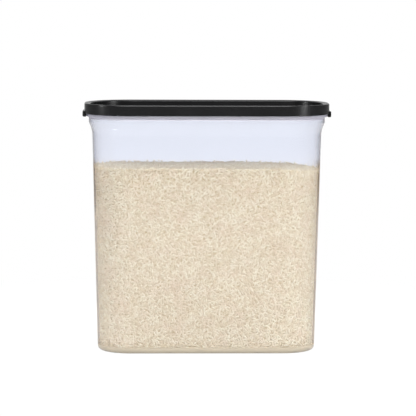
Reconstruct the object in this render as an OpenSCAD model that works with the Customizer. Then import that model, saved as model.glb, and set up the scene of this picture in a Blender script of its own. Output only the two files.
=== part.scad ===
// Rice bin: a translucent bin with a flared neck, a press-on seal with a sunken panel,
// and a flip-up flap over the pouring mouth in that panel.
//
// Every wall follows one rounded rectangle, grown or shrunk by an offset r from a core rectangle.
// A wall's section is drawn once as [r, z] points and swept round: quarter turns at the corners
// and straight runs between them. Z is up, and z = 0 is the surface that the bin stands on.

/* [Seal] */
// Length over the seal's skirt
seal_len = 281.2; // [270:0.2:330]
// Depth over the seal's skirt
seal_dep = 122; // [116:1:150]
// Corner radius of the skirt in plan
corner_r = 53.7; // [48:0.1:56]
// Height from the table to the top of the seal's ring
overall_h = 285; // [235:1:330]
// Height of the skirt
skirt_h = 11.7; // [10:0.1:13]
// Thickness of the skirt
skirt_t = 1.6; // [1.2:0.1:2]
// Thickness of the ring's top, over the bin's rim
ring_t = 2; // [1.5:0.1:2.5]
// Radius along the ring's outer edge
ring_r = 1.2; // [0.8:0.1:2.4]
// Width of the flat land on the ring's top, inside its outer edge
ring_land = 1.6; // [1:0.1:2]
// How far the rest of the ring's top leans down towards the panel, in degrees
ring_lean = 14; // [6:1:16]
// Radius along the ring's inner edge
ring_inner_r = 0.8; // [0.4:0.1:1.2]
// Height of the snap ridge inside the skirt, under the bin's bead
snap_h = 1.6; // [1.2:0.1:2]
// Thickness of the plug wall inside the bin's mouth
plug_t = 1.6; // [1.3:0.1:2]
// Thickness of the sunken panel
panel_t = 1.8; // [1.5:0.1:2.2]
// Fillet where the plug wall meets the panel
panel_r = 1.5; // [0.8:0.1:2]
// Width of the shallow gutter round the panel
gutter_w = 4; // [3:0.5:5]
// Depth of that gutter
gutter_d = 0.6; // [0.3:0.1:0.8]

/* [Lift tabs] */
// Length of each lift tab along the seal's end
tab_len = 30; // [20:1:50]
// How far a lift tab stands out from the skirt
tab_out = 2.2; // [1.5:0.1:5]
// How far a lift tab hangs below the skirt
tab_drop = 3.8; // [2:0.1:5]
// Height of a lift tab
tab_h = 6.6; // [6:0.1:8]
// Radius on a lift tab's outer corners
tab_r = 1.2; // [0.6:0.1:1.8]
// Radius on a lift tab's inner lower corner
tab_in_r = 0.6; // [0.3:0.1:0.9]

/* [Bin] */
// Thickness of the bin's wall
wall_t = 1.8; // [1.4:0.1:2.2]
// Thickness of the bin's floor
floor_t = 2; // [1.6:0.1:3]
// Gap between the bin's collar and the skirt around it
rim_gap = 1.5; // [1.4:0.1:2]
// How far the snap bead stands out from the bin's rim
bead_out = 0.9; // [0.5:0.1:1]
// Height of the snap bead
bead_h = 2.9; // [2.4:0.1:3.4]
// Distance from the rim's top down to the snap bead
bead_down = 0.9; // [0.6:0.1:1.2]
// Distance from the skirt's lower edge down to the neck
collar_show = 4.3; // [4:0.1:6]
// How far the collar stands out from the neck
collar_step = 1.9; // [1.2:0.1:2.2]
// Height of the upright face of the lip under the skirt
lip_h = 2.6; // [2:0.1:3]
// Height of the straight neck under the lip
neck_h = 4.7; // [3:0.1:10]
// How far the wall comes in under the neck
shoulder_in = 4.05; // [3.8:0.05:8]
// Steepest lean of the shoulder, in degrees
shoulder_lean = 21; // [18:0.5:26]
// Radius of the shoulder's long hollow curve
shoulder_r = 27; // [18:1:32]
// Radius where the shoulder turns up into the neck
shoulder_top_r = 3.5; // [3:0.5:5]
// Draft of the bin's sides, in degrees
draft = 1.41; // [0.8:0.01:1.8]
// Radius round the bottom edge
base_r = 5; // [4:0.5:8]
// Radius inside, where the wall meets the floor
floor_r = 4; // [3:0.5:6]
// Width of the foot ring that the bin stands on
foot_w = 3; // [2:0.5:6]
// How far the floor stands up inside the foot ring
foot_rise = 1; // [0.5:0.1:2]

/* [Flap] */
// Length of the flap, from its hinge side to its free side
flap_len = 105; // [70:1:110]
// Width of the flap
flap_w = 80; // [66:1:84]
// Corner radius of the flap in plan
flap_corner_r = 12; // [8:0.5:14]
// Thickness of the flap's plate
flap_t = 1.8; // [1.5:0.1:2]
// Radius along the flap's top edge
flap_edge_r = 0.8; // [0.4:0.1:1.2]
// Thickness of the rim round the flap
rim_t = 1.5; // [1.2:0.1:1.8]
// Height of the coaming round the mouth
coaming_h = 1.6; // [1.2:0.1:2]
// Thickness of the coaming
coaming_t = 1.4; // [1.2:0.1:2]
// Gap between the flap's rim and the coaming
coaming_gap = 1.1; // [0.9:0.1:1.6]
// Gap over the coaming, under the flap's plate
coaming_top_gap = 0.8; // [0.5:0.1:1]
// Thickness of the plug ring under the flap
plug_ring_t = 1.3; // [1:0.1:1.8]
// How far the plug ring reaches below the panel's top
plug_ring_dip = 1; // [0.5:0.1:1.5]
// How far the finger tab reaches out from the flap
finger_out = 9; // [6:0.5:12]
// Width of the finger tab
finger_w = 26; // [18:1:34]
// Thickness of the finger tab
finger_t = 1.6; // [1.2:0.1:1.8]
// Radius on the finger tab's corners
finger_r = 5; // [3:0.5:6]
// Finger room between the tab and the panel's end wall
finger_room = 9.5; // [8:0.5:12]
// Number of grip ridges on the finger tab
ridges = 3; // [2:1:4]
// Distance between grip ridges
ridge_pitch = 2.4; // [1.8:0.1:2.6]
// Radius of a grip ridge
ridge_r = 0.5; // [0.3:0.1:0.6]

/* [Hinge] */
// Height of the hinge axis over the panel
axis_up = 2.6; // [2.6:0.1:2.8]
// Distance from the hinge axis to the flap's near side
axis_in = 3; // [2.9:0.1:4]
// Radius of the hinge barrel
barrel_r = 2.3; // [2:0.1:2.3]
// Length of the hinge barrel between the two ears
barrel_len = 54; // [36:1:56]
// Radius of the stub pins at the barrel's ends
pin_r = 1.4; // [1:0.05:1.5]
// Length of each stub pin
pin_len = 3.4; // [2.5:0.1:4]
// Radius of an ear that holds a stub pin
ear_r = 2.5; // [2.3:0.1:2.5]
// Thickness of an ear
ear_t = 4; // [3:0.5:5]

/* [Clearances] */
// Clearance between the seal and the bin, and between the flap and the seal
clear = 0.3; // [0.2:0.05:0.4]
// Clearance all round a stub pin in its ear
pin_clear = 0.05; // [0.03:0.01:0.08]

/* [Rice] */
// Height of the rice over the floor, where its top is level
rice_h = 210; // [120:1:225]
// Where the rice's top begins to fall, along the bin
rice_fall_x = 50; // [0:5:80]
// Radius of the rice's falling top
rice_fall_r = 750; // [400:50:2000]

/* [Hidden] */

TURN = 128;      // facets of a full turn, for the preview only
ARC_STEPS = 6;   // steps along a rounded edge in a section
LONG_STEPS = 10; // steps along the shoulder's long curve
CUT = 1;         // how far a cutting body runs past the face that it cuts

// Core rectangle of the seal and the bin, as half sides
core = [seal_len / 2 - corner_r, seal_dep / 2 - corner_r];

// Heights, from the ring's top down
rim_z = overall_h - ring_t;
skirt_z = overall_h - skirt_h;
neck_top_z = skirt_z - collar_show;
neck_z = neck_top_z - neck_h;
lip_z = skirt_z - clear;
bead_top_z = rim_z - bead_down;
bead_z = bead_top_z - bead_h;
snap_z = bead_z - clear - snap_h;

// Offsets of the upright faces from the core rectangle
skirt_in_r = corner_r - skirt_t;
collar_r = skirt_in_r - rim_gap;
collar_in_r = collar_r - wall_t;
lip_r = skirt_in_r - clear;
neck_r = collar_r - collar_step;
neck_in_r = neck_r - wall_t;
plug_r = collar_in_r - clear;
plug_in_r = plug_r - plug_t;
bead_r = collar_r + bead_out;
snap_r = bead_r + clear;

// The ring's top: where its land ends, and the middle of the curve along its inner edge
land_r = corner_r - ring_r - ring_land;
ring_curve_r = plug_in_r + ring_inner_r;
ring_curve_z = overall_h - (land_r - ring_curve_r) * tan(ring_lean) - ring_inner_r / cos(ring_lean);

// The slope inside the bin under its rim, and the seal's chamfer that lies over it
slope_top_z = neck_top_z + collar_in_r - neck_in_r;
slope_gap = clear * sqrt(2);
panel_bottom_z = neck_top_z + clear;
dish_r = neck_in_r + clear - slope_gap;
dish_top_z = panel_bottom_z + plug_r - dish_r;
panel_z = panel_bottom_z + panel_t;

// The shoulder's path, found from its two curves and the straight run between them
bend_low = shoulder_r * (cos(draft) - cos(shoulder_lean));
bend_top = shoulder_top_r * (1 - cos(shoulder_lean));
lean_run = (shoulder_in - bend_low - bend_top) / sin(shoulder_lean);
lean_top_z = neck_z - shoulder_top_r * sin(shoulder_lean);
lean_low_z = lean_top_z - lean_run * cos(shoulder_lean);
body_top_z = lean_low_z - shoulder_r * (sin(shoulder_lean) - sin(draft));
body_top_r = neck_r - shoulder_in;
base_line_r = body_top_r - body_top_z * tan(draft);

// The floor
floor_z = foot_rise + floor_t;
foot_r = base_line_r + base_r * tan(draft) - base_r / cos(draft);

// The flap in plan: its far side is set back from the panel's end wall
panel_end_x = core.x + plug_in_r;
flap_far_x = panel_end_x - finger_room - finger_out;
flap_near_x = flap_far_x - flap_len;
axis_x = flap_near_x - axis_in;
axis_z = panel_z + axis_up;
flap_mid_x = (flap_near_x + flap_far_x) / 2;
flap_core = [flap_len / 2 - flap_corner_r, flap_w / 2 - flap_corner_r];

// Offsets and heights round the mouth
rim_in_r = flap_corner_r - rim_t;
coaming_r = rim_in_r - coaming_gap;
mouth_r = coaming_r - coaming_t;
plug_ring_r = mouth_r - clear;
coaming_z = panel_z + coaming_h;
plate_z = coaming_z + coaming_top_gap;
flap_z = plate_z + flap_t;

// The hinge
ear_y = barrel_len / 2 + clear;

// The rice
rice_z = floor_z + rice_h;

// Points of an arc from angle a0 to angle a1
function arc(c, r, a0, a1, steps = ARC_STEPS) =
    [for (i = [0:steps]) let (a = a0 + (a1 - a0) * i / steps) c + r * [cos(a), sin(a)]];

// The bin's outer face from the bottom edge up to the neck, as [r, z, lean] points
function bin_face() = concat(
    [for (i = [0:LONG_STEPS])
        let (a = draft + (shoulder_lean - draft) * i / LONG_STEPS)
        [body_top_r + shoulder_r * (cos(draft) - cos(a)),
         body_top_z + shoulder_r * (sin(a) - sin(draft)), a]],
    [for (i = [0:ARC_STEPS])
        let (a = shoulder_lean * (1 - i / ARC_STEPS))
        [neck_r - shoulder_top_r * (1 - cos(a)), neck_z - shoulder_top_r * sin(a), a]]);

// The same face moved inwards by t, square to the wall
function inset_face(t) = [for (p = bin_face()) [p[0] - t * cos(p[2]), p[1] + t * sin(p[2])]];

// The rounded corner between the drafted wall, t inside its outer face, and a floor at height z
function floor_corner(t, z, r) =
    let (c = [base_line_r - t / cos(draft) + (z + r) * tan(draft) - r / cos(draft), z + r])
    arc(c, r, -90, -draft);

function reversed(list) = [for (i = [len(list) - 1:-1:0]) list[i]];

// Sweeps a section round a core rectangle of the given half sides
module swept(half, section) {
    for (sx = [0, 1], sy = [0, 1])
        mirror([sx, 0, 0])
            mirror([0, sy, 0])
                translate([half.x, half.y, 0])
                    rotate_extrude(angle = 90, $fn = TURN) polygon(section);
    for (s = [0, 1])
        mirror([0, s, 0])
            translate([-half.x, half.y, 0])
                rotate([90, 0, 90]) linear_extrude(2 * half.x) polygon(section);
    for (s = [0, 1])
        mirror([s, 0, 0])
            translate([half.x, half.y, 0])
                rotate([90, 0, 0]) linear_extrude(2 * half.y) polygon(section);
}

// Fills the core rectangle between two heights
module core_block(half, z0, z1) {
    translate([-half.x, -half.y, z0]) cube([2 * half.x, 2 * half.y, z1 - z0]);
}

// An upright prism on the rounded rectangle r outside a core rectangle
module rounded_block(half, r, z0, z1) {
    swept(half, [[0, z0], [r, z0], [r, z1], [0, z1]]);
    core_block(half, z0, z1);
}

// The bin: foot ring, drafted sides, shoulder, neck, lip, collar and snap bead in one wall
module bin() {
    section = concat(
        [[0, foot_rise], [foot_r - foot_w - foot_rise, foot_rise], [foot_r - foot_w, 0]],
        floor_corner(0, 0, base_r),
        inset_face(0),
        [[neck_r, neck_top_z], [lip_r, lip_z - lip_h], [lip_r, lip_z], [collar_r, lip_z]],
        [[collar_r, bead_z]],
        [[bead_r, bead_z + bead_out], [bead_r, bead_top_z - bead_out]],
        [[collar_r, bead_top_z], [collar_r, rim_z]],
        [[collar_in_r, rim_z], [collar_in_r, slope_top_z], [neck_in_r, neck_top_z]],
        reversed(inset_face(wall_t)),
        reversed(floor_corner(wall_t, floor_z, floor_r)),
        [[0, floor_z]]);
    color("#E6EDF7", 0.5) {
        swept(core, section);
        core_block(core, foot_rise, floor_z);
    }
}

// The ring that grips the bin's rim, the plug wall inside it and the sunken panel
module seal_shell() {
    section = concat(
        [[0, panel_bottom_z], [dish_r, panel_bottom_z], [plug_r, dish_top_z], [plug_r, rim_z]],
        [[skirt_in_r, rim_z], [skirt_in_r, snap_z + snap_h]],
        [[snap_r, snap_z + snap_h / 2], [skirt_in_r, snap_z], [skirt_in_r, skirt_z]],
        [[corner_r, skirt_z]],
        arc([corner_r - ring_r, overall_h - ring_r], ring_r, 0, 90),
        [[land_r, overall_h]],
        arc([ring_curve_r, ring_curve_z], ring_inner_r, 90 + ring_lean, 180),
        arc([plug_in_r - panel_r, panel_z - gutter_d + panel_r], panel_r, 0, -90),
        [[plug_in_r - gutter_w + gutter_d, panel_z - gutter_d], [plug_in_r - gutter_w, panel_z]],
        [[0, panel_z]]);
    swept(core, section);
    core_block(core, panel_bottom_z, panel_z);
}

// One lift tab, bent along the seal's end
module lift_tab() {
    low_z = skirt_z - tab_drop;
    high_z = low_z + tab_h;
    out_r = corner_r + tab_out;
    in_r = skirt_in_r;
    sweep_angle = asin((tab_len / 2 - core.y) / corner_r);
    section = concat(
        arc([in_r + tab_in_r, low_z + tab_in_r], tab_in_r, 180, 270),
        arc([out_r - tab_r, low_z + tab_r], tab_r, -90, 0),
        arc([out_r - tab_r, high_z - tab_r], tab_r, 0, 90),
        [[in_r, high_z]]);
    for (s = [0, 1])
        mirror([0, s, 0])
            translate([core.x, core.y, 0])
                rotate_extrude(angle = sweep_angle, $fn = TURN) polygon(section);
    translate([core.x, core.y, 0])
        rotate([90, 0, 0]) linear_extrude(2 * core.y) polygon(section);
}

// One upright ear with the bore for a stub pin
module hinge_ear() {
    difference() {
        union() {
            translate([axis_x, ear_y, axis_z])
                rotate([-90, 0, 0]) cylinder(h = ear_t, r = ear_r, $fn = TURN);
            translate([axis_x - ear_r, ear_y, panel_bottom_z])
                cube([2 * ear_r, ear_t, axis_z - panel_bottom_z]);
        }
        translate([axis_x, ear_y - CUT, axis_z])
            rotate([-90, 0, 0]) cylinder(h = ear_t + 2 * CUT, r = pin_r + pin_clear, $fn = TURN);
    }
}

// The seal: its shell and the coaming with the mouth cut through both, the hinge ears, the lift tabs
module seal() {
    color("#262626") {
        difference() {
            union() {
                seal_shell();
                translate([flap_mid_x, 0, 0])
                    rounded_block(flap_core, coaming_r, panel_bottom_z, coaming_z);
            }
            translate([flap_mid_x, 0, 0])
                rounded_block(flap_core, mouth_r, panel_bottom_z - CUT, coaming_z + CUT);
        }
        for (s = [0, 1]) {
            mirror([0, s, 0]) hinge_ear();
            mirror([s, 0, 0]) lift_tab();
        }
    }
}

// The flap's plate with its rim and the plug ring that enters the mouth
module flap_plate() {
    section = concat(
        [[0, plate_z], [plug_ring_r - plug_ring_t, plate_z]],
        [[plug_ring_r - plug_ring_t, panel_z - plug_ring_dip], [plug_ring_r, panel_z - plug_ring_dip]],
        [[plug_ring_r, plate_z], [rim_in_r, plate_z], [rim_in_r, panel_z], [flap_corner_r, panel_z]],
        arc([flap_corner_r - flap_edge_r, flap_z - flap_edge_r], flap_edge_r, 0, 90),
        [[0, flap_z]]);
    translate([flap_mid_x, 0, 0]) {
        swept(flap_core, section);
        core_block(flap_core, plate_z, flap_z);
    }
}

// The finger tab at the flap's free side, with its grip ridges
module finger_tab() {
    low_z = flap_z - finger_t;
    root_x = flap_far_x - rim_t;
    end_x = flap_far_x + finger_out;
    ridge_x = end_x - ridge_r - ridge_pitch / 2;
    translate([root_x, -finger_w / 2, low_z])
        cube([end_x - finger_r - root_x, finger_w, finger_t]);
    translate([end_x - finger_r - CUT, -finger_w / 2 + finger_r, low_z])
        cube([finger_r + CUT, finger_w - 2 * finger_r, finger_t]);
    for (s = [-1, 1])
        translate([end_x - finger_r, s * (finger_w / 2 - finger_r), low_z])
            cylinder(h = finger_t, r = finger_r, $fn = TURN);
    for (i = [0:ridges - 1])
        translate([ridge_x - i * ridge_pitch, 0, flap_z])
            rotate([90, 0, 0])
                cylinder(h = finger_w - 2 * finger_r, r = ridge_r, center = true, $fn = TURN);
}

// The barrel between the ears, the web that joins it to the plate, and the two stub pins
module hinge_barrel() {
    translate([axis_x, 0, axis_z])
        rotate([90, 0, 0]) {
            cylinder(h = barrel_len, r = barrel_r, center = true, $fn = TURN);
            cylinder(h = barrel_len + 2 * pin_len, r = pin_r, center = true, $fn = TURN);
        }
    translate([axis_x, -barrel_len / 2, plate_z])
        cube([axis_in + rim_t, barrel_len, flap_t - flap_edge_r]);
}

// The flap
module flap() {
    color("#2B2B2B") {
        flap_plate();
        finger_tab();
        hinge_barrel();
    }
}

// The rice: its top is level and falls a little towards one end
module rice() {
    gap_t = wall_t + clear;
    end_x = core.x + body_top_r;
    fall_angle = asin((end_x - rice_fall_x) / rice_fall_r);
    top = concat(
        [[end_x, floor_z], [-end_x, floor_z], [-end_x, rice_z]],
        arc([rice_fall_x, rice_z - rice_fall_r], rice_fall_r, 90, 90 - fall_angle));
    section = concat(
        floor_corner(gap_t, floor_z + clear, floor_r),
        [for (p = inset_face(gap_t)) if (p[1] < rice_z) p],
        [[body_top_r - gap_t - (body_top_z - rice_z) * tan(draft), rice_z]],
        [[0, rice_z], [0, floor_z + clear]]);
    color("#DDD0BA")
        intersection() {
            union() {
                swept(core, section);
                core_block(core, floor_z + clear, rice_z);
            }
            rotate([90, 0, 0]) linear_extrude(seal_dep, center = true) polygon(top);
        }
}

bin();
seal();
flap();
rice();
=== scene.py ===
"""Looks of a rice bin with a flip lid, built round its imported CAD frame.

The bin, the seal and the flap keep their CAD meshes and get moulded-plastic finishes. The rice is
built here: a core that stands for the CAD solid, and coats of separate grains that lie against the
bin's walls, floor and open top. A small studio holds the floor, the lamps and the camera.

Lengths are in metres and angles in radians, unless a name or a docstring says otherwise.
"""

import logging
import math
from dataclasses import dataclass, field
from enum import Enum

import bmesh
import bpy
from mathutils import Matrix, Vector


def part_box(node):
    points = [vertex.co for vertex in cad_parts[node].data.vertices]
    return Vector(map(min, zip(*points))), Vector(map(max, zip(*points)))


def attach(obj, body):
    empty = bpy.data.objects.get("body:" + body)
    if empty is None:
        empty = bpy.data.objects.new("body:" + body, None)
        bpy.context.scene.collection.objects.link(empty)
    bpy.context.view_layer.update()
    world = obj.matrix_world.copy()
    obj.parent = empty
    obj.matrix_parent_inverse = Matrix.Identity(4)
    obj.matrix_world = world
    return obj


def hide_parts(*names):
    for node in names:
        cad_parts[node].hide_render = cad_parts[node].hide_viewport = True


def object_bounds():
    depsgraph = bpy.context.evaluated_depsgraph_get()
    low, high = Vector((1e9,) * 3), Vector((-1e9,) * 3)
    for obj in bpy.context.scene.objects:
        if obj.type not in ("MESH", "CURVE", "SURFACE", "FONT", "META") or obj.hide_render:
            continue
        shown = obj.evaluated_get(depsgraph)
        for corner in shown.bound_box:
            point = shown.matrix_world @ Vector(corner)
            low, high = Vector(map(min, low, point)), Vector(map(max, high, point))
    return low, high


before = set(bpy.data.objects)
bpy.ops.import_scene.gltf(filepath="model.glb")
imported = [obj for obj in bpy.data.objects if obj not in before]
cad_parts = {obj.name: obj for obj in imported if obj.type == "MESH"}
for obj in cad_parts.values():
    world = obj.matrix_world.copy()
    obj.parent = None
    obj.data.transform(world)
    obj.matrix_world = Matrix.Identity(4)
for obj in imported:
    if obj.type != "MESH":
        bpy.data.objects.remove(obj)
CAD_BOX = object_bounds()

LOG = logging.getLogger("rice_bin")
MM = 0.001

# The sRGB standard's curve: a straight toe up to the knee, and a power above it
SRGB_KNEE = 0.04045
SRGB_TOE = 12.92
SRGB_LIFT = 0.055
SRGB_POWER = 2.4

Tree = bpy.types.NodeTree
Socket = bpy.types.NodeSocket
NodeInputs = dict[str | int, object]
Colour = tuple[float, float, float, float]


def to_linear(code: str) -> Colour:
    """Turns an sRGB hex colour into linear RGBA.

    Args:
        code: The colour as "#RRGGBB".

    Returns:
        Linear red, green and blue, then 1 for full cover.
    """
    parts = [int(code[i : i + 2], 16) / 255 for i in (1, 3, 5)]
    red, green, blue = (
        v / SRGB_TOE if v <= SRGB_KNEE else ((v + SRGB_LIFT) / (1 + SRGB_LIFT)) ** SRGB_POWER
        for v in parts
    )
    return red, green, blue, 1.0


def per_metre(size_mm: float) -> float:
    """Gives the texture scale at which one feature of a pattern is size_mm millimetres wide."""
    return 1 / (size_mm * MM)


def add_node(
    tree: Tree,
    kind: str,
    settings: dict[str, object] | None = None,
    inputs: NodeInputs | None = None,
) -> bpy.types.Node:
    """Adds one node to a tree, with its settings, values and links.

    Args:
        tree: The tree that the node goes into.
        kind: The node's type name.
        settings: The node's own properties.
        inputs: Values or sockets for its inputs, by name or number.

    Returns:
        The new node.
    """
    node = tree.nodes.new(kind)
    for name, value in (settings or {}).items():
        setattr(node, name, value)
    for key, value in (inputs or {}).items():
        if isinstance(value, Socket):
            tree.links.new(value, node.inputs[key])
        else:
            node.inputs[key].default_value = value
    return node


def coordinate(tree: Tree, kind: str) -> Socket:
    """Gives one of the Texture Coordinate node's outputs."""
    return add_node(tree, "ShaderNodeTexCoord").outputs[kind]


def part_along(tree: Tree, vector: Socket, axis: str) -> Socket:
    """Gives a vector's part along the axis "X", "Y" or "Z"."""
    return add_node(tree, "ShaderNodeSeparateXYZ", inputs={0: vector}).outputs[axis]


def calculate(
    tree: Tree, operation: str, first: float | Socket, second: float | Socket = 0.0
) -> Socket:
    """Does a sum on one or two numbers.

    Args:
        tree: The tree that the sum goes into.
        operation: The Math node's operation.
        first: The first number.
        second: The second number, where the operation takes one.

    Returns:
        The socket that gives the result.
    """
    inputs = {0: first, 1: second}
    return add_node(tree, "ShaderNodeMath", {"operation": operation}, inputs).outputs[0]


def remap(
    tree: Tree,
    value: Socket,
    source: tuple[float, float] = (0.0, 1.0),
    target: tuple[float, float] = (0.0, 1.0),
    smooth: bool = False,
) -> Socket:
    """Turns one range of numbers into another, and holds what lies past its ends.

    Args:
        tree: The tree that the node goes into.
        value: The number.
        source: The two ends of the number's own range.
        target: What those two ends become.
        smooth: Whether the change eases in and out.

    Returns:
        The socket that gives the new number.
    """
    inputs = {
        "Value": value,
        "From Min": source[0],
        "From Max": source[1],
        "To Min": target[0],
        "To Max": target[1],
    }
    settings = {"interpolation_type": "SMOOTHSTEP" if smooth else "LINEAR"}
    return add_node(tree, "ShaderNodeMapRange", settings, inputs).outputs["Result"]


def mix_numbers(
    tree: Tree, share: Socket, first: float | Socket, second: float | Socket
) -> Socket:
    """Mixes two numbers.

    Args:
        tree: The tree that the node goes into.
        share: The second number's share.
        first: The first number.
        second: The second number.

    Returns:
        The socket that gives the mix.
    """
    # Among the Mix node's inputs, 2 and 3 are its two numbers
    inputs = {0: share, 2: first, 3: second}
    return add_node(tree, "ShaderNodeMix", {"data_type": "FLOAT"}, inputs).outputs[0]


def mix_colours(
    tree: Tree, share: Socket, first: Colour | Socket, second: Colour | Socket
) -> Socket:
    """Mixes two colours.

    Args:
        tree: The tree that the node goes into.
        share: The second colour's share.
        first: The first colour.
        second: The second colour.

    Returns:
        The socket that gives the mix.
    """
    # Among the Mix node's inputs, 6 and 7 are its two colours, and its output 2 is their mix
    inputs = {0: share, 6: first, 7: second}
    return add_node(tree, "ShaderNodeMix", {"data_type": "RGBA"}, inputs).outputs[2]


def mix_shaders(tree: Tree, share: float | Socket, first: Socket, second: Socket) -> Socket:
    """Mixes two shaders.

    Args:
        tree: The tree that the node goes into.
        share: The second shader's share.
        first: The first shader.
        second: The second shader.

    Returns:
        The socket that gives the mix.
    """
    inputs = {0: share, 1: first, 2: second}
    return add_node(tree, "ShaderNodeMixShader", inputs=inputs).outputs[0]


def noise(tree: Tree, place: Socket, size_mm: float, detail: float) -> Socket:
    """Draws a cloudy pattern.

    Args:
        tree: The tree that the pattern goes into.
        place: The point's place.
        size_mm: How wide one cloud is.
        detail: How many finer patterns lie on it.

    Returns:
        The socket that gives the pattern, about 0.5 on average.
    """
    inputs = {"Vector": place, "Scale": per_metre(size_mm), "Detail": detail}
    return add_node(tree, "ShaderNodeTexNoise", inputs=inputs).outputs["Fac"]


def bump(tree: Tree, pattern: Socket, height_mm: float) -> Socket:
    """Presses a pattern into a surface.

    Args:
        tree: The material's tree.
        pattern: The pattern, from 0 to 1.
        height_mm: How high a 1 in the pattern stands.

    Returns:
        The socket that gives the surface's new normal.
    """
    inputs = {"Strength": 1.0, "Distance": height_mm * MM, "Height": pattern}
    return add_node(tree, "ShaderNodeBump", inputs=inputs).outputs["Normal"]


def random_number(
    tree: Tree, least: float | Socket, most: float | Socket, seed: int
) -> Socket:
    """Gives each point or grain its own number.

    Args:
        tree: The tree that it goes into.
        least: The smallest number.
        most: The largest number.
        seed: The seed.

    Returns:
        The socket that gives the number.
    """
    # Among the node's inputs, 2 and 3 are the ends for a plain number, which is its output 1
    inputs = {2: least, 3: most, "Seed": seed}
    return add_node(tree, "FunctionNodeRandomValue", {"data_type": "FLOAT"}, inputs).outputs[1]


class Ray(Enum):
    """The kinds of ray that a material tells apart, by the Light Path node's outputs."""

    CAMERA = "Is Camera Ray"
    TRANSMISSION = "Is Transmission Ray"
    GLOSSY = "Is Glossy Ray"
    SHADOW = "Is Shadow Ray"


def is_ray(tree: Tree, *kinds: Ray) -> Socket:
    """Tells some kinds of ray from all the others.

    Args:
        tree: A material's or the world's tree.
        kinds: The kinds of ray that count.

    Returns:
        A socket that is 1 for a ray of any of those kinds, and otherwise 0.
    """
    path = add_node(tree, "ShaderNodeLightPath").outputs
    found = path[kinds[0].value]
    for kind in kinds[1:]:
        found = calculate(tree, "MAXIMUM", found, path[kind.value])
    return found


@dataclass(frozen=True)
class Finish:
    """A named material. Each kind of finish builds a surface of its own."""

    name: str

    def material(self) -> bpy.types.Material:
        """Builds the material.

        Returns:
            The finished material.
        """
        made = bpy.data.materials.new(self.name)
        made.use_nodes = True
        tree = made.node_tree
        tree.nodes.clear()
        add_node(tree, "ShaderNodeOutputMaterial", inputs={"Surface": self.surface(tree)})
        return made

    def surface(self, tree: Tree) -> Socket:
        """Gives the socket of the finish's shader."""
        raise NotImplementedError(self.name)


@dataclass(frozen=True)
class SolidFinish(Finish):
    """A finish that can't be seen through: the Principled shader's plain values and a pattern."""

    roughness: float
    ior: float
    specular: float

    def surface(self, tree: Tree) -> Socket:
        """Builds the surface, where the pattern's inputs come before the plain values.

        Args:
            tree: The material's tree.

        Returns:
            The shader's socket.
        """
        plain = {
            "Roughness": self.roughness,
            "IOR": self.ior,
            "Specular IOR Level": self.specular,
        }
        inputs = plain | self.pattern(tree)
        return add_node(tree, "ShaderNodeBsdfPrincipled", inputs=inputs).outputs[0]

    def pattern(self, tree: Tree) -> NodeInputs:
        """Gives the inputs of the shader that differ from place to place."""
        raise NotImplementedError(self.name)


@dataclass(frozen=True)
class Milk:
    """A milky wall's colours, looked through squarely and edge-on, and the slants between. The edge-on
    colour is painted darker, as shade where the slanting wall is seen at its edges.

    A slant is 0 where the wall is seen squarely and 1 where it is seen edge-on.
    """

    square: str
    # Darker than square: painted shade where the wall is seen edge-on
    edge_on_shaded: str
    begins: float = 0.0
    ends: float = 0.59

    def colour(self, tree: Tree, slant: Socket) -> Socket:
        """Gives the milk's colour at a slant, darkening edge-on as painted shade.

        Args:
            tree: The material's tree.
            slant: The slant at which the wall is seen.

        Returns:
            The socket that gives the colour.
        """
        share = remap(tree, slant, (self.begins, self.ends))
        return mix_colours(tree, share, to_linear(self.square), to_linear(self.edge_on_shaded))


@dataclass(frozen=True)
class WallPoint:
    """What the bin's material knows about a point of the wall, as sockets.

    Besides the point's place, its height and the slant at which it is seen, these are masks from 0
    to 1: the collar and what is over it, the foot, the part with no rice behind it, the wall's
    outer face, and a ray that looks for a lamp.
    """

    place: Socket
    high: Socket
    slant: Socket
    collar: Socket
    foot: Socket
    empty: Socket
    outer: Socket
    lamp: Socket


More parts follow.
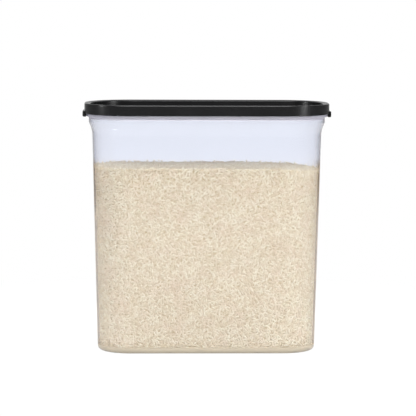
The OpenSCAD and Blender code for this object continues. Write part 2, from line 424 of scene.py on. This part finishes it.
@dataclass(frozen=True)
class NaturalPolypropylene(Finish):
    """Uncoloured polypropylene, injection moulded: clear enough to show the rice, with a cold milk.

    The milk scatters light back and passes some on. It grows with the way through the wall, a
    slanting face mirrors the room, and the milk is painted darker edge-on as shade: all three draw
    the edges. All of it sits on the wall's outer face. Where rice lies against the wall the milk is
    painted in the rice's colour, a painted glow of the rice's light, and the foot is milkiest, with
    that painted glow and painted shade that darkens it towards the table.
    """

    name: str = "natural_polypropylene_moulded"
    # What passes through the wall where there is no milk
    tint: str = "#FBFCFF"
    # The mirror: its fine orange peel, and its share seen squarely and how that grows
    roughness: float = 0.12
    peel_mm: float = 2.2
    peel_height_mm: float = 0.012
    mirror_head_on: float = 0.04
    mirror_power: float = 5.0
    # The milk's colours, each painted darker edge-on as shade: over no rice, over rice (a painted
    # glow of the rice's light), in the collar, and down the foot (the rice's painted glow, with
    # painted shade towards the table)
    empty: Milk = Milk("#D9E2FA", "#C4C4CE")
    # Over rice: the rice's colour painted into the milk as a glow, darker edge-on as painted shade
    rice_glow_milk: Milk = Milk("#E2D6C2", "#A0896A", begins=0.28, ends=0.75)
    collar: Milk = Milk("#DEDEEA", "#BCBAC8")
    # The foot: the rice's painted glow at its top, darker at its bottom as painted shade
    foot_top_rice_glow: str = "#C8BEAC"
    foot_bottom_shade: str = "#A39C8D"
    # The milk's share of a face seen squarely, and how far its clouds change that
    milkiness: float = 0.07
    collar_milkiness: float = 0.62
    foot_milkiness: float = 0.95
    cloud_mm: float = 38.0
    cloud_share: float = 0.1
    # How many times longer the way through the wall gets edge-on, and to what power that counts
    longest_way: float = 6.0
    empty_power: float = 2.0
    filled_power: float = 2.6
    # How much of its light the milk passes on, and how much of it doesn't stop a lamp's
    glow: float = 0.35
    let_in: float = 0.7
    # Heights: the foot's fade and where it is full, where its colour starts to darken as painted
    # shade, how far the rice's painted glow reaches over the rice, and how far the collar starts
    # below the seal
    foot_mm: float = 8.0
    foot_solid_mm: float = 6.0
    foot_shade_mm: float = 4.2
    rice_fade_mm: float = 9.5
    collar_clear_mm: float = 1.9

    def surface(self, tree: Tree) -> Socket:
        """Builds the surface: milk over what lies behind the face, under a mirror.

        Args:
            tree: The material's tree.

        Returns:
            The shader's socket.
        """
        point = self.find_point(tree)
        tint = {"Color": to_linear(self.tint)}
        clear = add_node(tree, "ShaderNodeBsdfTransparent", inputs=tint).outputs[0]
        body = mix_shaders(tree, self.milk_share(tree, point), clear, self.milk(tree, point))
        peel = noise(tree, point.place, self.peel_mm, detail=1.0)
        shine = {"Roughness": self.roughness, "Normal": bump(tree, peel, self.peel_height_mm)}
        gloss = add_node(tree, "ShaderNodeBsdfGlossy", inputs=shine).outputs[0]
        return mix_shaders(tree, self.mirror_share(tree, point), body, gloss)

    def find_point(self, tree: Tree) -> WallPoint:
        """Works out where a point lies and how it is seen.

        Args:
            tree: The material's tree.

        Returns:
            What the rest of the material needs to know about the point.
        """
        place = coordinate(tree, "Object")
        high = part_along(tree, place, "Z")
        collar_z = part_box("seal")[0].z - self.collar_clear_mm * MM
        rice_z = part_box("rice")[1].z
        return WallPoint(
            place=place,
            high=high,
            slant=add_node(tree, "ShaderNodeLayerWeight", inputs={"Blend": 0.5}).outputs["Facing"],
            collar=calculate(tree, "GREATER_THAN", high, collar_z),
            foot=remap(tree, high, (self.foot_solid_mm * MM, self.foot_mm * MM), (1.0, 0.0)),
            empty=remap(tree, high, (rice_z, rice_z + self.rice_fade_mm * MM), smooth=True),
            outer=self.outer_face(tree, place),
            lamp=is_ray(tree, Ray.SHADOW),
        )

    def outer_face(self, tree: Tree, place: Socket) -> Socket:
        """Tells the wall's outer face from its inner one, by whether it faces away from the middle.

        Args:
            tree: The material's tree.
            place: The point's place on the bin.

        Returns:
            A socket that is 1 on the outer face, and otherwise 0.
        """
        outwards = add_node(
            tree, "ShaderNodeVectorMath", {"operation": "MULTIPLY"}, {0: place, 1: (1.0, 1.0, 0.0)}
        ).outputs[0]
        along = add_node(
            tree,
            "ShaderNodeVectorMath",
            {"operation": "DOT_PRODUCT"},
            {0: outwards, 1: coordinate(tree, "Normal")},
        ).outputs["Value"]
        away = calculate(tree, "GREATER_THAN", along, 0.0)
        backfacing = add_node(tree, "ShaderNodeNewGeometry").outputs["Backfacing"]
        return calculate(tree, "ABSOLUTE", calculate(tree, "SUBTRACT", away, backfacing))

    def milk(self, tree: Tree, point: WallPoint) -> Socket:
        """Makes the milk itself, with painted shade edge-on and towards the table, and the rice's
        painted glow.

        Args:
            tree: The material's tree.
            point: The point of the wall.

        Returns:
            The socket of a shader that scatters light back and passes some on.
        """
        rice_glow_milk, empty, collar = (
            milk.colour(tree, point.slant) for milk in (self.rice_glow_milk, self.empty, self.collar)
        )
        # Painted shade: the foot darkens towards the table; its upper colour is the rice's painted
        # glow
        low = remap(tree, point.high, (self.foot_shade_mm * MM, 0.0))
        foot = mix_colours(tree, low, to_linear(self.foot_top_rice_glow), to_linear(self.foot_bottom_shade))
        # Over the rice the milk carries the rice's painted glow, above it the plain milk
        wall = mix_colours(tree, point.empty, rice_glow_milk, empty)
        upper = mix_colours(tree, point.collar, wall, collar)
        tone = {"Color": mix_colours(tree, point.foot, upper, foot)}
        back = add_node(tree, "ShaderNodeBsdfDiffuse", inputs=tone).outputs[0]
        onward = add_node(tree, "ShaderNodeBsdfTranslucent", inputs=tone).outputs[0]
        return mix_shaders(tree, self.glow, back, onward)

    def milk_share(self, tree: Tree, point: WallPoint) -> Socket:
        """Works out how much of a face is milk: cloudy, more in the collar, less against a lamp.

        Args:
            tree: The material's tree.
            point: The point of the wall.

        Returns:
            The socket that gives the milk's share.
        """
        upper = mix_numbers(tree, point.collar, self.milkiness, self.collar_milkiness)
        plain = mix_numbers(tree, point.foot, upper, self.foot_milkiness)
        cloud = noise(tree, point.place, self.cloud_mm, detail=2.0)
        clouded = remap(tree, cloud, target=(1 - self.cloud_share, 1 + self.cloud_share))
        passed = calculate(tree, "SUBTRACT", 1.0, calculate(tree, "MULTIPLY", plain, clouded))
        upright = remap(tree, point.slant, target=(1.0, 1 / self.longest_way))
        power = mix_numbers(tree, point.empty, -self.filled_power, -self.empty_power)
        way = calculate(tree, "POWER", upright, power)
        seen = calculate(tree, "SUBTRACT", 1.0, calculate(tree, "POWER", passed, way))
        kept = remap(tree, point.lamp, target=(1.0, 1 - self.let_in))
        shown = calculate(tree, "MULTIPLY", seen, point.outer)
        return calculate(tree, "MULTIPLY", shown, kept)

    def mirror_share(self, tree: Tree, point: WallPoint) -> Socket:
        """Works out how much of a face is mirror, by Schlick's rule.

        Args:
            tree: The material's tree.
            point: The point of the wall.

        Returns:
            The socket that gives the mirror's share.
        """
        risen = calculate(tree, "POWER", point.slant, self.mirror_power)
        share = remap(tree, risen, target=(self.mirror_head_on, 1.0))
        free = calculate(tree, "GREATER_THAN", point.outer, point.lamp)
        return calculate(tree, "MULTIPLY", share, free)


@dataclass(frozen=True)
class MouldedPolyethylene(SolidFinish):
    """Carbon-black polyethylene, injection moulded, satin: it shows broad soft reflections.

    Its flat tops are a little rougher than its sides. An upward face turns from side to top
    between the two values of its normal's Z.
    """

    name: str = "black_polyethylene_satin"
    roughness: float = 0.24
    ior: float = 1.51
    specular: float = 0.4
    top_roughness: float = 0.33
    top_begins: float = 0.9
    top_full: float = 0.97
    colour: str = "#0B0B0C"
    worn: str = "#161617"
    mottle_mm: float = 24.0
    grain_mm: float = 0.8
    grain_height_mm: float = 0.01

    def pattern(self, tree: Tree) -> NodeInputs:
        """Adds a faint mottle to the black, the rougher tops and the fine grain of the tool.

        Args:
            tree: The material's tree.

        Returns:
            The shader's colour, roughness and normal.
        """
        place = coordinate(tree, "Object")
        mottle = noise(tree, place, self.mottle_mm, detail=3.0)
        upward = part_along(tree, coordinate(tree, "Normal"), "Z")
        levels = (self.roughness, self.top_roughness)
        grain = noise(tree, place, self.grain_mm, detail=1.0)
        return {
            "Base Color": mix_colours(tree, mottle, to_linear(self.colour), to_linear(self.worn)),
            "Roughness": remap(tree, upward, (self.top_begins, self.top_full), levels, smooth=True),
            "Normal": bump(tree, grain, self.grain_height_mm),
        }


@dataclass(frozen=True)
class RiceFinish(SolidFinish):
    """What the two finishes of white rice share: it is waxy and slightly see-through."""

    ior: float = 1.53
    specular: float = 0.35


@dataclass(frozen=True)
class PolishedRice(RiceFinish):
    """Milled and polished white rice: each grain has its own cream tone, in broad warmer patches.

    A patch begins and is full at the two values of its pattern, and takes up to its share.
    """

    name: str = "polished_white_rice"
    roughness: float = 0.5
    dark: str = "#E0D0B1"
    light: str = "#F4ECD5"
    warm: str = "#E6CDB6"
    patch_mm: float = 22.0
    patch_begins: float = 0.45
    patch_full: float = 0.75
    patch_share: float = 0.35
    tone: str = "grain_tone"

    def pattern(self, tree: Tree) -> NodeInputs:
        """Colours each grain from its own tone, in broad patches of a warmer cast.

        Args:
            tree: The material's tree.

        Returns:
            The shader's colour.
        """
        named = {"attribute_name": self.tone}
        tone = add_node(tree, "ShaderNodeAttribute", named).outputs["Fac"]
        own = mix_colours(tree, tone, to_linear(self.dark), to_linear(self.light))
        patch = noise(tree, coordinate(tree, "Object"), self.patch_mm, detail=2.0)
        ends = (self.patch_begins, self.patch_full)
        share = remap(tree, patch, ends, (0.0, self.patch_share))
        return {"Base Color": mix_colours(tree, share, own, to_linear(self.warm))}


@dataclass(frozen=True)
class PackedRice(RiceFinish):
    """The rice behind the outer grains, painted darker: the same grains in each other's shade."""

    name: str = "packed_white_rice"
    roughness: float = 0.7
    dark: str = "#C9B692"
    light: str = "#E0D1B3"
    cell_mm: float = 3.0
    cell_height_mm: float = 0.8

    def pattern(self, tree: Tree) -> NodeInputs:
        """Draws the grains as cells, lower in the gaps between them and darker there as painted shade.

        Args:
            tree: The material's tree.

        Returns:
            The shader's colour and normal.
        """
        inputs = {"Vector": coordinate(tree, "Object"), "Scale": per_metre(self.cell_mm)}
        # Painted shade: the gaps between the cells are coloured darker
        gap_shade = add_node(tree, "ShaderNodeTexVoronoi", inputs=inputs).outputs["Distance"]
        raised = calculate(tree, "SUBTRACT", 1.0, gap_shade)
        return {
            "Base Color": mix_colours(tree, gap_shade, to_linear(self.light), to_linear(self.dark)),
            "Normal": bump(tree, raised, self.cell_height_mm),
        }


@dataclass(frozen=True)
class StudioPaper(Finish):
    """Seamless white paper: it is burnt out to pure white, but for some shade round the bin.

    The shade is deepest up to shade_near from the bin's middle, and is gone at shade_far.
    """

    name: str = "studio_paper"
    colour: str = "#FFFFFF"
    shade: float = 0.2
    shade_near: float = 0.16
    shade_far: float = 0.6

    def surface(self, tree: Tree) -> Socket:
        """Builds a matte white that camera, glossy and transmitted rays see nearly evenly lit.

        Args:
            tree: The material's tree.

        Returns:
            The shader's socket.
        """
        paper = {"Color": to_linear(self.colour)}
        matte = add_node(tree, "ShaderNodeBsdfDiffuse", inputs=paper).outputs[0]
        glow = add_node(tree, "ShaderNodeEmission", inputs={"Strength": 1.0}).outputs[0]
        away = add_node(
            tree,
            "ShaderNodeVectorMath",
            {"operation": "LENGTH"},
            {0: coordinate(tree, "Object")},
        ).outputs["Value"]
        ends = (self.shade_near, self.shade_far)
        burnt = remap(tree, away, ends, (1 - self.shade, 1.0), smooth=True)
        seen = is_ray(tree, Ray.CAMERA, Ray.TRANSMISSION, Ray.GLOSSY)
        return mix_shaders(tree, calculate(tree, "MULTIPLY", seen, burnt), matte, glow)


class Side(Enum):
    """The faces of the rice that get a coat of grains, by the way that each one faces."""

    FRONT = (0.0, -1.0, 0.0)
    BACK = (0.0, 1.0, 0.0)
    LEFT = (-1.0, 0.0, 0.0)
    RIGHT = (1.0, 0.0, 0.0)
    TOP = (0.0, 0.0, 1.0)
    UNDER = (0.0, 0.0, -1.0)


@dataclass(frozen=True)
class GrainLayer:
    """One layer of grains: how deep it lies, how closely, and how far its grains tilt."""

    name: str
    depth: float
    spacing: float
    tilt: float
    seed: int


@dataclass
class RiceFill:
    """The rice in the bin: a packed core, and coats of separate grains on every face.

    A grain is as long, wide and thick as grain says, or smaller, down to smallest times that.
    """

    body: str = "bin_body"
    node: str = "rice"
    slot: str = "rice_grain"
    grain: tuple[float, float, float] = (5.8 * MM, 2.1 * MM, 1.7 * MM)
    smallest: float = 0.86
    grain_segments: int = 6
    grain_rings: int = 4
    layers: tuple[GrainLayer, ...] = (
        GrainLayer("outer", depth=0.95 * MM, spacing=2.2 * MM, tilt=math.radians(4), seed=3),
        GrainLayer("inner", depth=2.0 * MM, spacing=2.5 * MM, tilt=math.radians(20), seed=80),
    )
    # About one grain is tried on each square of this side, and those that lie too close are dropped
    trial_pitch: float = 1.6 * MM
    tilt_seed: int = 17
    spin_seed: int = 18
    size_seed: int = 29
    tone_seed: int = 41
    core_depth: float = 2.3 * MM
    weld: float = 0.01 * MM
    # Just over the cosine of 45 degrees, so that no face belongs to two sides
    facing_limit: float = 0.7072
    # The name under which each point carries the turn that lays a grain on its face
    turn: str = "turn"
    grain_finish: PolishedRice = field(default_factory=PolishedRice)
    core_finish: PackedRice = field(default_factory=PackedRice)

    def skin(self, name: str, depth: float = 0.0) -> bpy.types.Object:
        """Copies the rice's CAD surface as one closed mesh, moved inwards.

        Args:
            name: The new object's name.
            depth: How far inside the CAD surface it lies.

        Returns:
            The new object, at the origin.
        """
        mesh = bpy.data.meshes.new(name)
        shape = bmesh.new()
        shape.from_mesh(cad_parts[self.node].data)
        bmesh.ops.remove_doubles(shape, verts=shape.verts, dist=self.weld)
        shape.normal_update()
        moves = [(vertex, vertex.co - vertex.normal * depth) for vertex in shape.verts]
        for vertex, place in moves:
            vertex.co = place
        shape.to_mesh(mesh)
        shape.free()
        made = bpy.data.objects.new(name, mesh)
        bpy.context.scene.collection.objects.link(made)
        return made

    def build_core(self) -> bpy.types.Object:
        """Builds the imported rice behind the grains.

        Returns:
            The core, which stands for the CAD solid.
        """
        core = self.skin("rice_core", self.core_depth)
        core.data.materials.clear()
        core.data.materials.append(self.core_finish.material())
        for face in core.data.polygons:
            face.use_smooth = True
        return core

    def coat_tree(self, material: bpy.types.Material) -> Tree:
        """Builds the tree that lays grains flat on the faces of a skin that face one way.

        Args:
            material: The grains' material.

        Returns:
            The tree, with its sizes as named inputs.
        """
        tree = bpy.data.node_groups.new("rice_coat", "GeometryNodeTree")
        face = tree.interface
        face.new_socket("Geometry", in_out="INPUT", socket_type="NodeSocketGeometry")
        face.new_socket("Facing", in_out="INPUT", socket_type="NodeSocketVector")
        face.new_socket("Grain size", in_out="INPUT", socket_type="NodeSocketVector")
        for label in ("Depth", "Spacing", "Tilt"):
            face.new_socket(label, in_out="INPUT", socket_type="NodeSocketFloat")
        face.new_socket("Seed", in_out="INPUT", socket_type="NodeSocketInt")
        face.new_socket("Geometry", in_out="OUTPUT", socket_type="NodeSocketGeometry")
        given = add_node(tree, "NodeGroupInput").outputs
        placed = add_node(
            tree,
            "GeometryNodeInstanceOnPoints",
            inputs={
                "Points": self.grain_places(tree, given),
                "Instance": self.grain_shape(tree, given["Grain size"]),
                "Rotation": self.grain_turns(tree, given["Tilt"]),
                "Scale": random_number(tree, self.smallest, 1.0, self.size_seed),
            },
        ).outputs[0]
        toned = add_node(
            tree,
            "GeometryNodeStoreNamedAttribute",
            {"data_type": "FLOAT", "domain": "INSTANCE"},
            {
                "Geometry": placed,
                "Name": self.grain_finish.tone,
                "Value": random_number(tree, 0.0, 1.0, self.tone_seed),
            },
        ).outputs[0]
        real = add_node(tree, "GeometryNodeRealizeInstances", inputs={0: toned}).outputs[0]
        smooth = add_node(tree, "GeometryNodeSetShadeSmooth", inputs={0: real}).outputs[0]
        dressed = add_node(
            tree, "GeometryNodeSetMaterial", inputs={"Geometry": smooth, "Material": material}
        ).outputs[0]
        add_node(tree, "NodeGroupOutput", inputs={0: dressed})
        return tree

    def grain_shape(self, tree: Tree, size: Socket) -> Socket:
        """Makes one grain: a low ball drawn out along X, with its poles at the grain's tips.

        Args:
            tree: The tree that it goes into.
            size: The grain's length, width and thickness.

        Returns:
            The socket that gives the grain's mesh.
        """
        ball = add_node(
            tree,
            "GeometryNodeMeshUVSphere",
            inputs={"Segments": self.grain_segments, "Rings": self.grain_rings, "Radius": 0.5},
        ).outputs["Mesh"]
        turned = add_node(
            tree,
            "GeometryNodeTransform",
            inputs={"Geometry": ball, "Rotation": (0.0, math.pi / 2, 0.0)},
        ).outputs[0]
        return add_node(
            tree, "GeometryNodeTransform", inputs={"Geometry": turned, "Scale": size}
        ).outputs[0]

    def grain_places(self, tree: Tree, given: bpy.types.NodeOutputs) -> Socket:
        """Scatters one layer's points on the faces that face the given way, and sinks them.

        Args:
            tree: The tree that it goes into.
            given: The group's inputs.

        Returns:
            The socket that gives the points, each with the turn that lays a grain on its face.
        """
        normal = add_node(tree, "GeometryNodeInputNormal").outputs["Normal"]
        along = add_node(
            tree, "ShaderNodeVectorMath", {"operation": "DOT_PRODUCT"}, {0: normal, 1: given["Facing"]}
        ).outputs["Value"]
        chosen = add_node(
            tree,
            "FunctionNodeCompare",
            {"data_type": "FLOAT", "operation": "GREATER_THAN"},
            {0: along, 1: self.facing_limit},
        ).outputs[0]
        side = add_node(
            tree,
            "GeometryNodeSeparateGeometry",
            {"domain": "FACE"},
            {"Geometry": given["Geometry"], "Selection": chosen},
        ).outputs[0]
        spots = add_node(
            tree,
            "GeometryNodeDistributePointsOnFaces",
            {"distribute_method": "POISSON"},
            {
                "Mesh": side,
                "Distance Min": given["Spacing"],
                "Density Max": 1 / self.trial_pitch**2,
                "Seed": given["Seed"],
            },
        ).outputs
        turned = add_node(
            tree,
            "GeometryNodeStoreNamedAttribute",
            {"data_type": "QUATERNION", "domain": "POINT"},
            {"Geometry": spots["Points"], "Name": self.turn, "Value": spots["Rotation"]},
        ).outputs[0]
        inwards = calculate(tree, "MULTIPLY", given["Depth"], -1.0)
        offset = add_node(
            tree,
            "ShaderNodeVectorMath",
            {"operation": "SCALE"},
            {0: spots["Normal"], "Scale": inwards},
        ).outputs[0]
        return add_node(
            tree, "GeometryNodeSetPosition", inputs={"Geometry": turned, "Offset": offset}
        ).outputs[0]

    def grain_turns(self, tree: Tree, tilt: Socket) -> Socket:
        """Turns each grain any way in its face, and tilts it a little out of it.

        Args:
            tree: The tree that it goes into.
            tilt: How far a grain may tilt.

        Returns:
            The socket that gives the turn.
        """
        least = calculate(tree, "MULTIPLY", tilt, -1.0)
        angles = {
            "Y": random_number(tree, least, tilt, self.tilt_seed),
            "Z": random_number(tree, 0.0, math.tau, self.spin_seed),
        }
        free = add_node(tree, "ShaderNodeCombineXYZ", inputs=angles).outputs[0]
        square = add_node(
            tree,
            "GeometryNodeInputNamedAttribute",
            {"data_type": "QUATERNION"},
            {"Name": self.turn},
        ).outputs[0]
        own = add_node(tree, "FunctionNodeEulerToRotation", inputs={0: free}).outputs[0]
        return add_node(
            tree, "FunctionNodeRotateRotation", {"rotation_space": "LOCAL"}, {0: square, 1: own}
        ).outputs[0]

    def coat(self, side: Side, layer: GrainLayer, tree: Tree) -> bpy.types.Object:
        """Lays one layer of grains on one side and turns it into a plain mesh.

        Args:
            side: Which way the coat faces.
            layer: The layer.
            tree: The tree that lays grains.

        Returns:
            The coat, at the origin, with no modifier.
        """
        coat = self.skin(f"rice_grains_{side.name.lower()}_{layer.name}")
        inputs = {
            "Facing": side.value,
            "Grain size": self.grain,
            "Depth": layer.depth,
            "Spacing": layer.spacing,
            "Tilt": layer.tilt,
            "Seed": layer.seed + list(Side).index(side),
        }
        modifier = coat.modifiers.new("coat", "NODES")
        modifier.node_group = tree
        for item in tree.interface.items_tree:
            if item.in_out == "INPUT" and item.name in inputs:
                modifier[item.identifier] = inputs[item.name]
        graph = bpy.context.evaluated_depsgraph_get()
        made = bpy.data.meshes.new_from_object(coat.evaluated_get(graph))
        coat.modifiers.clear()
        coat.data = made
        return coat

    def build(self) -> list[bpy.types.Object]:
        """Builds the core and the coats, and puts them on the bin's body.

        Returns:
            The pieces made.
        """
        core = self.build_core()
        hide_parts(self.node)
        tree = self.coat_tree(self.grain_finish.material())
        pieces = [core] + [self.coat(side, layer, tree) for side in Side for layer in self.layers]
        for piece in pieces:
            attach(piece, self.body)
        return pieces


@dataclass
class PlasticParts:
    """The moulded parts: each CAD node keeps its mesh and gets its finish."""

    finishes: dict[str, Finish] = field(
        default_factory=lambda: {
            "bin": NaturalPolypropylene(),
            "seal": MouldedPolyethylene(),
            "flap": MouldedPolyethylene(name="black_polypropylene_satin", roughness=0.34),
        }
    )

    def build(self) -> list[bpy.types.Object]:
        """Dresses the CAD nodes.

        Returns:
            The dressed nodes.
        """
        dressed = []
        for name, finish in self.finishes.items():
            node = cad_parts[name]
            node.data.materials.clear()
            node.data.materials.append(finish.material())
            dressed.append(node)
        return dressed


class Reach(Enum):
    """What a softbox does: whether it lights the surfaces, and whether it shows in their gloss."""

    ALL = (True, True)
    GLOSS_ONLY = (False, True)
    ALL_BUT_GLOSS = (True, False)


@dataclass(frozen=True)
class Softbox:
    """A soft white rectangular lamp that stands round the bin and looks at its middle.

    Its angles are in degrees, round from the camera's side towards +X and up from level, and its
    power is in watts.
    """

    name: str
    azimuth: float
    elevation: float
    distance: float
    width: float
    height: float
    power: float
    reach: Reach = Reach.ALL

    def build(self, target: Vector) -> bpy.types.Object:
        """Makes the lamp.

        Args:
            target: The point that it looks at.

        Returns:
            The lamp's object.
        """
        lamp = bpy.data.lights.new(self.name, "AREA")
        lamp.shape = "RECTANGLE"
        lamp.size = self.width
        lamp.size_y = self.height
        lamp.energy = self.power
        made = bpy.data.objects.new(self.name, lamp)
        made.visible_diffuse, made.visible_glossy = self.reach.value
        turn, lift = math.radians(self.azimuth), math.radians(self.elevation)
        back = Vector(
            (math.sin(turn) * math.cos(lift), -math.cos(turn) * math.cos(lift), math.sin(lift))
        )
        made.location = target + back * self.distance
        made.rotation_euler = (-back).to_track_quat("-Z", "Y").to_euler()
        bpy.context.scene.collection.objects.link(made)
        return made


@dataclass(frozen=True)
class Camera:
    """The camera: it stands in front of the bin, turned a little round it, and looks down a little.

    The lens is in millimetres.
    """

    distance: float = 2.53
    height: float = 0.4318
    shift: float = 0.0019
    turn: float = 0.031
    pitch: float = 0.1058
    roll: float = 0.0042
    lens: float = 190.385

    def build(self) -> bpy.types.Object:
        """Sets the camera up as the scene's own.

        Returns:
            The camera's object.
        """
        data = bpy.data.cameras.new("camera")
        data.lens = self.lens
        camera = bpy.data.objects.new("camera", data)
        turn = Matrix.Rotation(-self.turn, 4, "Z")
        level = Matrix.Rotation(math.pi / 2 - self.pitch, 4, "X")
        roll = Matrix.Rotation(self.roll, 4, "Z")
        place = Vector((self.shift, -self.distance, self.height))
        camera.matrix_world = turn @ Matrix.Translation(place) @ level @ roll
        bpy.context.scene.collection.objects.link(camera)
        bpy.context.scene.camera = camera
        return camera


@dataclass
class Studio:
    """The floor, the lamps, the world and the camera.

    In gloss and on surfaces the world is as dim as fill, but for a patch straight behind the bin
    that is as bright as back_fill. The patch begins and is full at the two values of a direction's
    part along Y.
    """

    softboxes: tuple[Softbox, ...] = (
        Softbox(
            "key_softbox", azimuth=52, elevation=14, distance=1.8, width=0.4, height=0.6, power=11.0
        ),
        Softbox(
            "side_softbox",
            azimuth=-76,
            elevation=14,
            distance=1.8,
            width=0.16,
            height=0.4,
            power=9.0,
            reach=Reach.GLOSS_ONLY,
        ),
        Softbox(
            "top_softbox", azimuth=0, elevation=78, distance=1.6, width=1.0, height=0.75, power=15.0
        ),
        Softbox(
            "front_softbox",
            azimuth=-14,
            elevation=33,
            distance=4.0,
            width=3.2,
            height=1.8,
            power=112.0,
        ),
        Softbox(
            "rear_left_softbox",
            azimuth=-155,
            elevation=31,
            distance=2.2,
            width=0.9,
            height=0.9,
            power=28.0,
            reach=Reach.ALL_BUT_GLOSS,
        ),
        Softbox(
            "rear_right_softbox",
            azimuth=155,
            elevation=31,
            distance=2.2,
            width=0.9,
            height=0.9,
            power=26.0,
            reach=Reach.ALL_BUT_GLOSS,
        ),
    )
    camera: Camera = Camera()
    fill: float = 0.24
    back_fill: float = 1.0
    back_begins: float = 0.9
    back_full: float = 0.97
    backdrop: str = "#FFFFFF"
    floor_size: float = 2.4

    def build_floor(self) -> bpy.types.Object:
        """Lays the paper floor.

        Returns:
            The floor's object.
        """
        half = self.floor_size / 2
        mesh = bpy.data.meshes.new("studio_floor")
        corners = [(-half, -half, 0), (half, -half, 0), (half, half, 0), (-half, half, 0)]
        mesh.from_pydata(corners, [], [(0, 1, 2, 3)])
        mesh.materials.append(StudioPaper().material())
        floor = bpy.data.objects.new("studio_floor", mesh)
        bpy.context.scene.collection.objects.link(floor)
        return floor

    def build_world(self) -> None:
        """Makes the world: pure white to the lens, brighter behind the bin than in front of it."""
        world = bpy.data.worlds.new("studio_world")
        bpy.context.scene.world = world
        world.use_nodes = True
        tree = world.node_tree
        tree.nodes.clear()
        behind = part_along(tree, coordinate(tree, "Generated"), "Y")
        ends = (self.back_begins, self.back_full)
        light = remap(tree, behind, ends, (self.fill, self.back_fill), smooth=True)
        seen = is_ray(tree, Ray.CAMERA, Ray.TRANSMISSION)
        inputs = {
            "Color": to_linear(self.backdrop),
            "Strength": mix_numbers(tree, seen, light, 1.0),
        }
        glow = add_node(tree, "ShaderNodeBackground", inputs=inputs).outputs[0]
        add_node(tree, "ShaderNodeOutputWorld", inputs={"Surface": glow})

    def build(self) -> None:
        """Sets up the whole studio."""
        low, high = CAD_BOX
        self.camera.build()
        self.build_floor()
        self.build_world()
        for softbox in self.softboxes:
            softbox.build((low + high) / 2)
        bpy.context.scene.view_settings.view_transform = "Standard"


def main() -> None:
    """Builds the studio, the plastic parts and the rice, and reports each piece."""
    logging.basicConfig(level=logging.INFO, format="%(name)s: %(message)s")
    Studio().build()
    for group in (PlasticParts(), RiceFill()):
        for piece in group.build():
            LOG.info("%s: %d faces", piece.name, len(piece.data.polygons))


if __name__ == "__main__":
    main()
